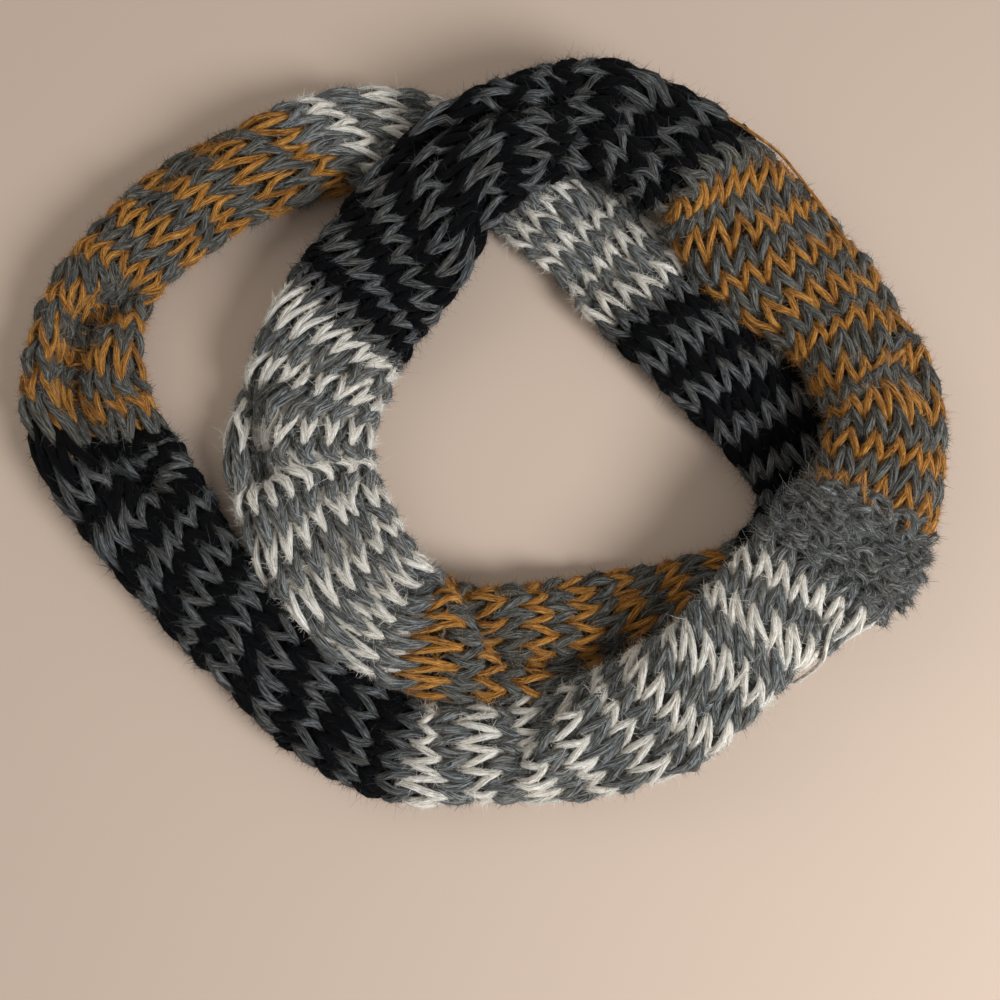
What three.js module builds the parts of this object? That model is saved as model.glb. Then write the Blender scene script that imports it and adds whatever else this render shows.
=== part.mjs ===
// A long knitted tube, sewn end to end into one endless loop, and laid down flat in two laps.
// Millimetres. +X is right, +Y is away from the person looking at it, +Z is up from the floor.
import * as THREE from 'three';

// Driving sizes.
const loopScale = 1;          // whole outline, 1 is as laid
const widthScale = 1;         // width of the flattened tube
const heightScale = 1;        // height of the flattened tube
const knitThickness = 4.5;    // one layer of chunky stocking stitch
const touchingGap = 0.3;      // clear space between pieces that meet
const settle = 1.5;           // depth to which the soft underside is pressed flat on the floor
const roundness = 2.15;       // power of the cross-section's rounded outline, 2 is an ellipse
const sidesRound = 16;        // flat sides round the tube
const ringSpacing = 14;       // along the tube
const seamSwell = 1.06;       // the sewn joint is a little fatter than the knitting beside it
const tailDiameter = 1.6;     // white yarn end that hangs out of the joint
const strandDiameter = 1.2;   // mustard yarn pulled out along the outer edge
const cordSides = 8;

// Stations along the tube, in the order it was knitted:
// x, y, height of the middle above the floor, width, height, roll in degrees (inner edge up),
// and which lap it lies in: 1 outer, -1 inner, 0 where one lap crosses the other.
const stations = [
  [151, -37, 34, 54, 25, 10, 0.3],  // 0  mustard 1 starts at the joint
  [160, -5, 31, 49, 27, 12, 0.8],
  [153, 27, 24, 50, 29, 11, 1],
  [134, 57, 20, 52, 30, 8, 1],
  [113, 84, 24, 50, 29, 8, 0.6],
  [93, 105, 31, 47, 27, 4, 0],  // 5  black 1, over the top crossing
  [60, 119, 34, 48, 27, 0, 0],
  [30, 116, 34, 53, 26, 0, 0],
  [3, 102, 34, 59, 25, 0, 0],
  [-20, 83, 27, 60, 27, 0, -0.5],
  [-38, 62, 19, 59, 30, 0, -1],
  [-54, 39, 17, 57, 31, 0, -1],  // 11 white 1
  [-65, 12, 16, 59, 31, 0, -1],
  [-68, -15, 16, 60, 31, 0, -1],
  [-58, -41, 18, 57, 29, 0, -1],
  [-40, -64, 19, 51, 28, 0, -1],
  [-18, -79, 17, 46, 28, 0, -1],  // 16 mustard 2, under the lower right crossing
  [9, -83, 14, 41, 27, 0, -1],
  [37, -82, 12, 40, 23, 0, -1],
  [64, -75, 9, 41, 16, 0, -0.9],
  [90, -68, 9, 38, 16, 0, -0.5],
  [113, -57, 9, 36, 16, 0, -0.3],  // 21 black 2
  [130, -40, 9, 36, 16, 0, -0.4],
  [132, -18, 9, 38, 16, 0, -0.8],
  [119, 2, 10, 41, 18, 0, -1],
  [104, 20, 12, 44, 22, 0, -1],
  [87, 38, 13, 45, 24, 0, -1],
  [70, 55, 12, 46, 23, 0, -0.6],  // 27 white 2, under the top crossing
  [54, 74, 9, 45, 16, 0, 0],
  [35, 93, 9, 44, 16, 0, 0],
  [11, 111, 9, 42, 16, 0, 0],
  [-16, 124, 9, 42, 17, 0, 0.3],
  [-43, 126, 13, 42, 24, 0, 0.8],
  [-69, 119, 15, 43, 28, 0, 1],  // 33 mustard 3
  [-95, 108, 15, 43, 29, 0, 1],
  [-120, 92, 14, 40, 28, 0, 1],
  [-143, 70, 14, 38, 27, 0, 1],
  [-155, 43, 14, 44, 27, 0, 1],
  [-157, 16, 14, 52, 27, 0, 1],
  [-149, -6, 14, 54, 27, 0, 1],  // 39 black 3
  [-135, -26, 13, 51, 25, 0, 1],
  [-115, -51, 12, 46, 24, 0, 1],
  [-94, -76, 12, 43, 24, 0, 1],
  [-71, -98, 12, 41, 24, 0, 1],
  [-47, -116, 13, 41, 25, 0, 1],
  [-21, -126, 13, 41, 25, 0, 1],  // 45 white 3, over the lower right crossing
  [5, -127, 13, 40, 26, 0, 1],
  [31, -125, 15, 40, 28, 0, 1],
  [56, -118, 21, 44, 28, 0, 0.9],
  [78, -106, 31.5, 50, 25, 0, 0.5],
  [100, -89, 33, 54, 24, 0, 0.2],
  [118, -73, 33, 55, 24, 4, 0],
  [134, -57, 34, 55, 24, 8, 0],  // 52 sewn joint
];

// Pieces of the loop: name, first station, colour.
const mustard = 0xb4782d;
const black = 0x14181c;
const white = 0xe1ded4;
const grey = 0x69696a;
const knitPieces = [
  ['mustard_section_1', 0, mustard],
  ['black_section_1', 5, black],
  ['white_section_1', 11, white],
  ['mustard_section_2', 16, mustard],
  ['black_section_2', 21, black],
  ['white_section_2', 27, white],
  ['mustard_section_3', 33, mustard],
  ['black_section_3', 39, black],
  ['white_section_3', 45, white],
  ['sewn_joint', 52, grey],
];

// The white yarn end leaves the knitting here: station, degrees round from the inner edge, lift.
const tailRoot = [51.35, 184, 1];
// Then it drops to the floor: x and y from its root, and share of the root's height.
const tailDrop = [
  [2.5, -3.5, 0.72],
  [3, -8, 0.36],
  [0.5, -12.5, 0.12],
  [-5, -15.5, 0.04],
  [-11, -17, 0.04],
];
// The mustard strand lies along the outer shoulder: station, degrees round, lift.
const strandRoute = [
  [5.05, 150, 1.2],
  [4.75, 152, 2.6],
  [4.4, 152, 3],
  [4, 153, 1.9],
  [3.5, 155, 1.6],
  [3.1, 156, 1.2],
];

function stationValue(index, column) {
  const count = stations.length;
  return stations[((index % count) + count) % count][column];
}

// A smooth value of one column at a place between stations.
function between(place, column) {
  const index = Math.floor(place);
  const t = place - index;
  const a = stationValue(index - 1, column);
  const b = stationValue(index, column);
  const c = stationValue(index + 1, column);
  const d = stationValue(index + 2, column);
  const cubic = (3 * (b - c) + d - a) * t ** 3;
  const square = (2 * a - 5 * b + 4 * c - d) * t ** 2;
  return b + 0.5 * ((c - a) * t + square + cubic);
}

function drawnCentre(place) {
  const x = between(place, 0) * loopScale;
  const y = between(place, 1) * loopScale;
  const z = between(place, 2) * heightScale - settle;
  return new THREE.Vector3(x, y, z);
}

// Neighbouring laps move apart by as much as the tube is wider than its place in the outline.
function centreAt(place) {
  const centre = drawnCentre(place);
  const travel = drawnCentre(place + 0.02).sub(drawnCentre(place - 0.02));
  const outward = new THREE.Vector3(travel.y, -travel.x, 0).normalize();
  const spread = (between(place, 3) / 2) * (widthScale - loopScale);
  return centre.addScaledVector(outward, between(place, 6) * spread);
}

// Centre, travel direction, sideways direction and upward direction of the tube at a place.
function frameAt(place) {
  const centre = centreAt(place);
  const travel = centreAt(place + 0.02).sub(centreAt(place - 0.02)).normalize();
  const inward = new THREE.Vector3(0, 0, 1).cross(travel).normalize();
  const roll = THREE.MathUtils.degToRad(between(place, 5));
  inward.applyAxisAngle(travel, roll);
  const upward = travel.clone().cross(inward);
  return { centre, travel, inward, upward };
}

function roundedPower(value) {
  return Math.sign(value) * Math.abs(value) ** (2 / roundness);
}

// One ring of points round the tube, this far inside its outer surface.
function ringPoints(place, inset, shift, swell) {
  const { centre, travel, inward, upward } = frameAt(place);
  const halfWidth = (between(place, 3) * widthScale * swell) / 2 - inset;
  const halfHeight = (between(place, 4) * heightScale * swell) / 2 - inset;
  const points = [];
  for (let side = 0; side < sidesRound; side += 1) {
    const angle = (side / sidesRound) * 2 * Math.PI;
    const point = centre.clone().addScaledVector(travel, shift);
    point.addScaledVector(inward, roundedPower(Math.cos(angle)) * halfWidth);
    point.addScaledVector(upward, roundedPower(Math.sin(angle)) * halfHeight);
    point.z = Math.max(point.z, inset);
    points.push(point);
  }
  return points;
}

// A point this far above the knitting's surface, at an angle round from its inner edge.
function surfacePoint([place, degrees, lift]) {
  const { centre, inward, upward } = frameAt(place);
  const angle = THREE.MathUtils.degToRad(degrees);
  const halfWidth = (between(place, 3) * widthScale) / 2 + lift;
  const halfHeight = (between(place, 4) * heightScale) / 2 + lift;
  return centre
    .addScaledVector(inward, roundedPower(Math.cos(angle)) * halfWidth)
    .addScaledVector(upward, roundedPower(Math.sin(angle)) * halfHeight);
}

function stripBetween(first, second, count, inward) {
  const triangles = [];
  for (let side = 0; side < count; side += 1) {
    const next = (side + 1) % count;
    const a = first + side;
    const b = first + next;
    const c = second + next;
    const d = second + side;
    triangles.push(...(inward ? [a, b, c, a, c, d] : [a, c, b, a, d, c]));
  }
  return triangles;
}

// An open-ended hollow length of the tube between two stations.
function tubeGeometry(from, to, swell) {
  let length = 0;
  for (let place = from; place < to; place += 0.25) {
    length += centreAt(place).distanceTo(centreAt(Math.min(place + 0.25, to)));
  }
  const steps = Math.max(2, Math.round(length / ringSpacing));
  const rows = [];
  for (let step = 0; step <= steps; step += 1) {
    const place = from + ((to - from) * step) / steps;
    const shift = step === 0 ? touchingGap / 2 : step === steps ? -touchingGap / 2 : 0;
    rows.push(ringPoints(place, 0, shift, swell));
    rows.push(ringPoints(place, knitThickness, shift, swell));
  }
  const indices = [];
  for (let step = 0; step < steps; step += 1) {
    const outer = step * 2 * sidesRound;
    const nextOuter = outer + 2 * sidesRound;
    indices.push(...stripBetween(outer, nextOuter, sidesRound, true));
    indices.push(...stripBetween(outer + sidesRound, nextOuter + sidesRound, sidesRound, false));
  }
  const last = steps * 2 * sidesRound;
  indices.push(...stripBetween(0, sidesRound, sidesRound, false));
  indices.push(...stripBetween(last, last + sidesRound, sidesRound, true));
  const geometry = new THREE.BufferGeometry();
  geometry.setFromPoints(rows.flat());
  geometry.setIndex(indices);
  geometry.computeVertexNormals();
  return geometry;
}

function fabricMaterial(color, roughness) {
  return new THREE.MeshStandardMaterial({ color, roughness, metalness: 0 });
}

function makeKnitPiece([name, from, color], order) {
  const following = knitPieces[order + 1];
  const to = following ? following[1] : stations.length;
  const swell = following ? 1 : seamSwell;
  const mesh = new THREE.Mesh(tubeGeometry(from, to, swell), fabricMaterial(color, 0.95));
  mesh.name = name;
  return mesh;
}

function makeYarn(name, points, diameter, color) {
  const path = new THREE.CatmullRomCurve3(points);
  const outline = new THREE.Shape();
  for (let side = 0; side <= cordSides; side += 1) {
    const angle = (side / cordSides) * 2 * Math.PI;
    const across = (diameter / 2) * Math.cos(angle);
    const along = (diameter / 2) * Math.sin(angle);
    if (side === 0) outline.moveTo(across, along);
    else outline.lineTo(across, along);
  }
  const settings = { steps: 20, bevelEnabled: false, extrudePath: path };
  const mesh = new THREE.Mesh(
    new THREE.ExtrudeGeometry(outline, settings),
    fabricMaterial(color, 0.9),
  );
  mesh.name = name;
  return mesh;
}

const gaiter = new THREE.Group();
gaiter.name = 'neck_gaiter';
knitPieces.forEach((piece, order) => gaiter.add(makeKnitPiece(piece, order)));

// The middle of the outline sits on the frame's upright axis, and the underside on its floor.
const box = new THREE.Box3().setFromObject(gaiter);
const middle = box.getCenter(new THREE.Vector3());
const root = surfacePoint(tailRoot);
const whiteTail = tailDrop.map(([x, y, share]) => {
  const height = Math.max(root.z * share, tailDiameter);
  return new THREE.Vector3(root.x + x, root.y + y, height);
});
const mustardStrand = strandRoute.map(surfacePoint);
gaiter.add(makeYarn('white_yarn_tail', [root, ...whiteTail], tailDiameter, white));
gaiter.add(makeYarn('mustard_loose_strand', mustardStrand, strandDiameter, mustard));
gaiter.position.set(-middle.x, -middle.y, -box.min.z);

export default gaiter;
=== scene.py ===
import math
import time

import bpy
import numpy as np
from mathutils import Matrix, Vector


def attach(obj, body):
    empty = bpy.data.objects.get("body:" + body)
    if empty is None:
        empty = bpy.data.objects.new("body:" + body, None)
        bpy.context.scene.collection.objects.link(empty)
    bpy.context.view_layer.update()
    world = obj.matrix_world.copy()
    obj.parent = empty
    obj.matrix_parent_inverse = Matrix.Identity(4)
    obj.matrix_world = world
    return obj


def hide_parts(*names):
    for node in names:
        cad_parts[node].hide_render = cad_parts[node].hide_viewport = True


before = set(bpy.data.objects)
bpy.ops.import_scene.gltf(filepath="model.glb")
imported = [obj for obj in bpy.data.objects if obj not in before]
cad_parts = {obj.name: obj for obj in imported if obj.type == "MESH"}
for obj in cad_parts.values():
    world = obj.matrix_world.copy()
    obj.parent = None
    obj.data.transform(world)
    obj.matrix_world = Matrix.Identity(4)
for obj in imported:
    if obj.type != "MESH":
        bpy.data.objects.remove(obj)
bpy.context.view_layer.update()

began = time.time()
rng = np.random.default_rng(421)
mm = 0.001


def say(text):
    print(f"[{time.time() - began:6.1f} s] {text}", flush=True)


# Route of the flattened tube, in the order it was knitted. Lengths in millimetres:
# x, y, middle height, width, height, roll, row slant, wale drift (the last three in degrees).
stations = np.array([
    [151, -37, 34, 54, 25, 10, -6, -10],
    [160, -5, 31, 49, 27, 12, 0, -4],
    [153, 27, 24, 50, 29, 11, 8, 14],
    [134, 57, 20, 52, 30, 8, 16, 24],
    [113, 84, 24, 50, 29, 8, 20, 24],
    [93, 105, 31, 47, 27, 4, 24, 18],
    [60, 119, 34, 48, 27, 0, 10, 6],
    [30, 116, 34, 53, 26, 0, 20, 8],
    [3, 102, 34, 59, 25, 0, 38, 18],
    [-20, 83, 27, 60, 27, 0, 34, 20],
    [-38, 62, 19, 59, 30, 0, 20, 24],
    [-54, 39, 17, 57, 31, 0, 8, 30],
    [-65, 12, 16, 59, 31, 0, -4, 14],
    [-68, -15, 16, 60, 31, 0, 0, 0],
    [-58, -41, 18, 57, 29, 0, 0, 0],
    [-40, -64, 19, 51, 28, 0, -6, 0],
    [-18, -79, 17, 46, 28, 0, -4, 0],
    [9, -83, 14, 41, 27, 0, 0, 0],
    [37, -82, 12, 40, 23, 0, 0, 0],
    [64, -75, 9, 41, 16, 0, 0, 0],
    [90, -68, 9, 38, 16, 0, 0, 0],
    [113, -57, 9, 36, 16, 0, 0, 0],
    [130, -40, 9, 36, 16, 0, 0, 0],
    [132, -18, 9, 38, 16, 0, 6, 0],
    [119, 2, 10, 41, 18, 0, 14, 0],
    [104, 20, 12, 44, 22, 0, 16, 4],
    [87, 38, 13, 45, 24, 0, 16, 4],
    [70, 55, 12, 46, 23, 0, 10, 4],
    [54, 74, 9, 45, 16, 0, 0, 4],
    [35, 93, 9, 44, 16, 0, 0, 4],
    [11, 111, 9, 42, 16, 0, 0, 0],
    [-16, 124, 9, 42, 17, 0, -14, 0],
    [-43, 126, 13, 42, 24, 0, -28, 0],
    [-69, 119, 15, 43, 28, 0, -34, 0],
    [-95, 108, 15, 43, 29, 0, -30, 0],
    [-120, 92, 14, 40, 28, 0, -24, 0],
    [-143, 70, 14, 38, 27, 0, -10, 0],
    [-155, 43, 14, 44, 27, 0, 6, -6],
    [-157, 16, 14, 52, 27, 0, 22, -10],
    [-149, -6, 14, 54, 27, 0, 26, -6],
    [-135, -26, 13, 51, 25, 0, -10, -6],
    [-115, -51, 12, 46, 24, 0, -28, -6],
    [-94, -76, 12, 43, 24, 0, -30, -4],
    [-71, -98, 12, 41, 24, 0, -28, -4],
    [-47, -116, 13, 41, 25, 0, -16, -2],
    [-21, -126, 13, 41, 25, 0, -4, 0],
    [5, -127, 13, 40, 26, 0, 0, 0],
    [31, -125, 15, 40, 28, 0, -4, -8],
    [56, -118, 21, 44, 28, 0, -10, -22],
    [78, -106, 31.5, 50, 25, 0, -12, -32],
    [100, -89, 33, 54, 24, 0, -14, -34],
    [118, -73, 33, 55, 24, 4, -14, -34],
    [134, -57, 34, 55, 24, 8, -12, -26],
], float)
stationCount = len(stations)
settle = 1.5          # how far the middle sinks under the cloth's own weight
roundness = 2.15      # 2 is an ellipse, more is boxier

# Colour blocks of the tube: name, yarn, first station.
blocks = [
    ("mustard_section_1", "mustard", 0),
    ("black_section_1", "black", 5),
    ("white_section_1", "white", 11),
    ("mustard_section_2", "mustard", 16),
    ("black_section_2", "black", 21),
    ("white_section_2", "white", 27),
    ("mustard_section_3", "mustard", 33),
    ("black_section_3", "black", 39),
    ("white_section_3", "white", 45),
    ("sewn_joint", "grey", 52),
]

# The stitch: how many go round, row height, yarn radius, and how far a loop rises, swings and dips.
stitch = {
    "round": 16,
    "row": 9.4,
    "radius": 1.5,
    "rise": 0.98,
    "swing": 0.3,
    "depth": 2.0,
    "points": 20,      # of its line
    "sides": 10,       # of the yarn's section
    "thin": 0.46,      # share of the radius where a loop dives behind, and the same for the greys
    "thinGrey": 0.36,
    "full": 1.1,       # and in the legs
}
# Lowest heights of yarn, fibres and cloth over the floor.
lowest = {"yarn": 0.15, "fibre": 0.12, "cloth": 0.4}
skinInset = 3.3       # from the outline to the middle surface of the knitting
thinnest = 3.2        # least half height of that middle surface
floorClear = 3.2      # its lowest height over the floor
girth = 140.0         # round the tube where nothing is tucked away
# Where the tube has less than this girth its wales crowd together underneath, by up to this share.
crowdedGirth, mostCrowded = 126.0, 0.36

# Where the knitting is stretched sideways its loops stand apart: station, how much.
ladders = [
    (0, 0.03), (5, 0.02), (9, 0.04), (11.4, 0.13), (12, 0.2), (15.6, 0.2), (16.6, 0.02),
    (26.4, 0.05), (27.4, 0.17), (31, 0.17), (32.5, 0.04), (36.4, 0.04), (37, 0.14),
    (38.6, 0.14), (40, 0.02), (45, 0.03), (48, 0.07), (52, 0.07),
]

# Folds in the knitting: a line of (station, angle round the section: 0 inner edge, 90 top, 180
# outer edge), how deep and wide it is, and the height of the roll beside it, and on which side.
# A straight fold is pressed straight down. Its far side may slope, and its roll may lean over it.
folds = [
    # Left: a deep fold between the outer lobe and the inner one.
    {"line": [(35.9, 4), (36.2, 40), (36.6, 76), (37.0, 100), (37.6, 108), (38.3, 104), (39.1, 92),
              (39.9, 70), (40.6, 50)],
     "depth": 24.0, "width": 6.0, "roll": 2.6, "side": 1,
     "straight": True, "slope": 1.3, "lean": 9.0},
    # Top: folds that run along the black strand, and the tucks under its inner edge.
    {"line": [(9.2, 150), (8.2, 136), (7.1, 110), (6.1, 108), (5.2, 118), (4.2, 140)],
     "depth": 10.0, "width": 4.2, "roll": 2.4, "side": 1, "straight": True, "lean": 5.0},
    {"line": [(7.1, 90), (6.4, 82), (5.9, 82), (5.2, 88)],
     "depth": 10.0, "width": 4.6, "roll": 1.2, "side": 1, "straight": True},
    {"line": [(6.3, 70), (6.55, 50), (6.8, 30), (6.95, 4), (7.0, -20)],
     "depth": 13.0, "width": 4.6, "roll": 2.6, "side": -1},
    {"line": [(5.9, 70), (5.5, 46), (5.2, 18), (4.8, -8)],
     "depth": 12.0, "width": 4.6, "roll": 2.6, "side": 1},
    {"line": [(7.5, 80), (7.9, 58), (8.3, 40), (8.8, 16)],
     "depth": 11.0, "width": 4.6, "roll": 1.8, "side": 1},
    # Right: the roll along the outer edge.
    {"line": [(4.6, 150), (3.6, 156), (2.8, 150), (2.2, 134), (1.6, 122), (0.9, 118), (0.3, 124)],
     "depth": 4.6, "width": 2.4, "roll": 1.6, "side": 1},
    # White: the open fold at the outer edge and the crease that runs across from it.
    {"line": [(12.0, 160), (12.3, 146), (12.7, 126), (13.0, 122), (13.4, 136)],
     "depth": 19.0, "width": 5.0, "roll": 2.4, "side": 1,
     "straight": True, "slope": 1.3, "lean": 5.0},
    {"line": [(12.15, 150), (12.0, 116), (11.8, 92), (11.45, 66), (11.0, 34)],
     "depth": 4.6, "width": 3.2, "roll": 2.2, "side": -1, "straight": True},
    {"line": [(13.0, 70), (14.0, 62), (15.0, 50)],
     "depth": 2.4, "width": 2.2, "roll": 0.8, "side": 1},
    # Bottom: the rolled edge that crosses the strand and follows it under the crossing.
    {"line": [(15.5, 2), (16.1, 40), (16.5, 70), (16.8, 96), (17.2, 118), (17.9, 128), (19.0, 134),
              (20.2, 140)],
     "depth": 12.0, "width": 4.0, "roll": 5.0, "side": 1,
     "straight": True, "slope": 1.4, "lean": 5.0},
    {"line": [(16.5, 22), (17.4, 16), (18.4, 40), (19.2, 66), (20.2, 74)],
     "depth": 2.6, "width": 1.7, "roll": 0.8, "side": -1},
    {"line": [(48.4, 0), (47.6, 18), (46.9, 64), (46.3, 124), (46.0, 160)],
     "depth": 3.6, "width": 2.6, "roll": 2.2, "side": 1},
    # Upper left: the inner edge is turned under.
    {"line": [(32.4, 46), (33.4, 34), (34.5, 26), (35.6, 30), (36.4, 40)],
     "depth": 3.0, "width": 2.4, "roll": 0.6, "side": 1},
    {"line": [(33.4, 130), (34.6, 122), (35.8, 126)],
     "depth": 2.0, "width": 2.6, "roll": 0.6, "side": -1},
    # Lower left, and the strand on the floor in the middle.
    {"line": [(41.4, 118), (42.8, 108), (44.2, 112), (45.4, 104)],
     "depth": 2.2, "width": 2.8, "roll": 0.6, "side": 1},
    {"line": [(22.4, 60), (23.6, 74), (24.8, 62), (26.0, 70)],
     "depth": 2.4, "width": 2.4, "roll": 0.8, "side": 1},
    {"line": [(48.6, 120), (49.8, 104), (51.0, 96), (51.8, 104)],
     "depth": 2.6, "width": 2.8, "roll": 0.8, "side": -1},
    {"line": [(1.0, 66), (2.2, 74), (3.4, 60)],
     "depth": 2.0, "width": 2.6, "roll": 0.6, "side": 1},
]
# Places where one edge spreads out: stations from and to, angle, spread in degrees, millimetres.
bulges = [
    {"from": 22.8, "to": 29.2, "angle": 190, "spread": 34, "out": 12.0},
    {"from": 2.4, "to": 6.5, "angle": -14, "spread": 36, "out": 9.0},
    {"from": 5.5, "to": 9.1, "angle": 6, "spread": 44, "out": -14.0},
    {"from": 13.0, "to": 16.6, "angle": 176, "spread": 30, "out": 2.0},
    {"from": 36.0, "to": 41.0, "angle": 60, "spread": 34, "out": -7.0},
    {"from": 34.5, "to": 40.5, "angle": 182, "spread": 30, "out": -2.0},
    {"from": 14.8, "to": 19.6, "angle": 190, "spread": 28, "out": 7.5},
    {"from": 45.4, "to": 49.0, "angle": -12, "spread": 26, "out": 3.0},
    {"from": 48.6, "to": 52.0, "angle": 172, "spread": 40, "out": -7.0},
    {"from": 51.8, "to": 53.0, "angle": 176, "spread": 30, "out": 3.5},
]
# Folds that gather the spare knitting on the underside, so that the tube keeps its girth.
gathers = [(250, 9), (292, 9)]


def routeAt(place):
    place = np.asarray(place, float)
    i = np.floor(place).astype(int)
    t = (place - i)[..., None]
    a, b, c, d = (stations[(i + k) % stationCount] for k in (-1, 0, 1, 2))
    square = (2 * a - 5 * b + 4 * c - d) * t ** 2
    cubic = (3 * (b - c) + d - a) * t ** 3
    return b + 0.5 * ((c - a) * t + square + cubic)


def unit(v):
    return v / np.maximum(np.linalg.norm(v, axis=-1, keepdims=True), 1e-12)


# Length along the route against station number.
finePerStation = 40
finePlaces = np.linspace(0, stationCount, stationCount * finePerStation + 1)
fineLine = routeAt(finePlaces)[:, :3]
fineLength = np.concatenate([[0], np.cumsum(np.linalg.norm(np.diff(fineLine, axis=0), axis=1))])
loopLength = fineLength[-1]
say(f"loop {loopLength:.0f} mm round")


def lengthAt(place):
    return np.interp(place, finePlaces, fineLength)


def placeAt(length):
    whole = np.floor(length / loopLength)
    return np.interp(length - whole * loopLength, fineLength, finePlaces) + whole * stationCount


# The skin: a grid of points on the knitting's middle surface, rings along the loop by places
# round it. Each ring's outline is worked out finely, sideways and heightways, before it is thinned.
ringCount, roundCount, outlineCount = 1190, 96, 288
waveCount = 26
smallestShare = 0.16  # how far a pull may shrink the outline
ringLength = np.arange(ringCount) * loopLength / ringCount
ringPlace = placeAt(ringLength)
values = routeAt(ringPlace)
centre = values[:, :3] - [0, 0, settle]
travel = unit(routeAt(ringPlace + 0.03)[:, :3] - routeAt(ringPlace - 0.03)[:, :3])
inward = unit(np.cross([0, 0, 1.0], travel))
roll = np.radians(values[:, 5])[:, None]
inward = inward * np.cos(roll) + np.cross(travel, inward) * np.sin(roll)
upward = np.cross(travel, inward)
halfWidth = values[:, 3] / 2 - skinInset
halfHeight = np.maximum(values[:, 4] / 2 - skinInset, thinnest)

theta = np.linspace(-90, 270, outlineCount, endpoint=False)
cosine, sine = np.cos(np.radians(theta)), np.sin(np.radians(theta))
outline = np.stack([
    np.sign(cosine) * np.abs(cosine) ** (2 / roundness) * halfWidth[:, None],
    np.sign(sine) * np.abs(sine) ** (2 / roundness) * halfHeight[:, None],
])


def hump(t):
    return np.where((t > 0) & (t < 1), np.sin(np.pi * np.clip(t, 0, 1)) ** 1.3, 0)


# The outline pulled towards its middle by this depth at each ring, round an angle in degrees.
def pulledIn(depthAt, angle, width):
    gap = (theta[None, :] - angle + 180) % 360 - 180
    pull = depthAt[:, None] * np.exp(-((gap / width) ** 2))
    radius = np.maximum(np.hypot(*outline), 1e-6)
    return outline * np.maximum(1 - pull / radius, smallestShare)


# Soft waves, so that no length of the tube is a plain rounded bar.
wave = np.zeros((ringCount, outlineCount))
turn = 2 * np.pi * ringLength / loopLength
for k in range(waveCount):
    along, around = rng.integers(6, 46), rng.integers(1, 5)
    swing = rng.normal(0, 0.36) * (16 / (10 + along)) ** 0.5
    phase = rng.uniform(0, 2 * np.pi)
    wave += swing * np.sin(turn[:, None] * along + np.radians(theta)[None, :] * around + phase)
outline = outline * (1 + wave / np.maximum(np.hypot(*outline), 4))

for bulge in bulges:
    t = (ringPlace - bulge["from"]) / (bulge["to"] - bulge["from"])
    outline = pulledIn(-bulge["out"] * hump(t), bulge["angle"], bulge["spread"])


def outlineSteps():
    return np.hypot(*np.diff(outline, axis=2, append=outline[:, :, :1]))


flatAcross = np.cumsum(outlineSteps(), axis=1)
flatAcross -= flatAcross[:, :1]


# A smooth line through a fold's points: lengths along the loop, and distances round the outline.
def foldLine(fold):
    line = np.array(fold["line"], float)
    lengths = lengthAt(line[:, 0])
    rings = (lengths / loopLength * ringCount).astype(int) % ringCount
    across = [np.interp(angle, theta, flatAcross[r]) for r, angle in zip(rings, line[:, 1])]
    t = np.linspace(0, len(line) - 1, 8 * len(line))
    kernel = np.ones(7) / 7
    smooth = []
    for drawn in (lengths, across):
        a = np.interp(t, np.arange(len(line)), drawn)
        a = np.concatenate([[a[0]] * 3, a, [a[-1]] * 3])
        smooth.append(np.convolve(a, kernel, "valid"))
    return smooth


# How far each point of these rings is from a fold's line, on which side of it, and beside what
# share of it. The outer edge's side of the line counts as positive.
def gapToLine(chosen, lineLength, lineAcross):
    px = np.broadcast_to(ringLength[chosen, None], (len(chosen), outlineCount))
    py = flatAcross[chosen]
    best = np.full(px.shape, 1e9)
    share, sign = np.zeros(px.shape), np.ones(px.shape)
    steps = np.hypot(np.diff(lineLength), np.diff(lineAcross))
    run = np.concatenate([[0], np.cumsum(steps)])
    for k in range(len(lineLength) - 1):
        ax, ay = lineLength[k], lineAcross[k]
        bx, by = lineLength[k + 1] - ax, lineAcross[k + 1] - ay
        size = max(bx * bx + by * by, 1e-9)
        h = np.clip(((px - ax) * bx + (py - ay) * by) / size, 0, 1)
        gap = np.hypot(px - ax - h * bx, py - ay - h * by)
        nearer = gap < best
        best = np.where(nearer, gap, best)
        share = np.where(nearer, (run[k] + h * (run[k + 1] - run[k])) / run[-1], share)
        beside = (py - ay) * abs(bx) - (px - ax) * by * np.sign(bx)
        sign = np.where(nearer, np.sign(beside), sign)
    return best, sign, share


# How folds are pressed.
press = {
    "fadeShare": 0.22,                         # of the line, at each end
    "rollAt": 2.3, "rollSpread": 1.5,          # where the roll stands and how wide, in fold widths
    "leanAt": 1.7, "leanSpread": 1.2,          # the same for the part that leans over
    "upperFace": 0.45, "lowest": -0.45,        # where a straight fold acts, in half heights
    "crownFrom": 0.25, "crownOver": 0.6, "crownMost": 1.2,
    "smallestShare": 0.14,                     # of the outline that is left
}


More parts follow.
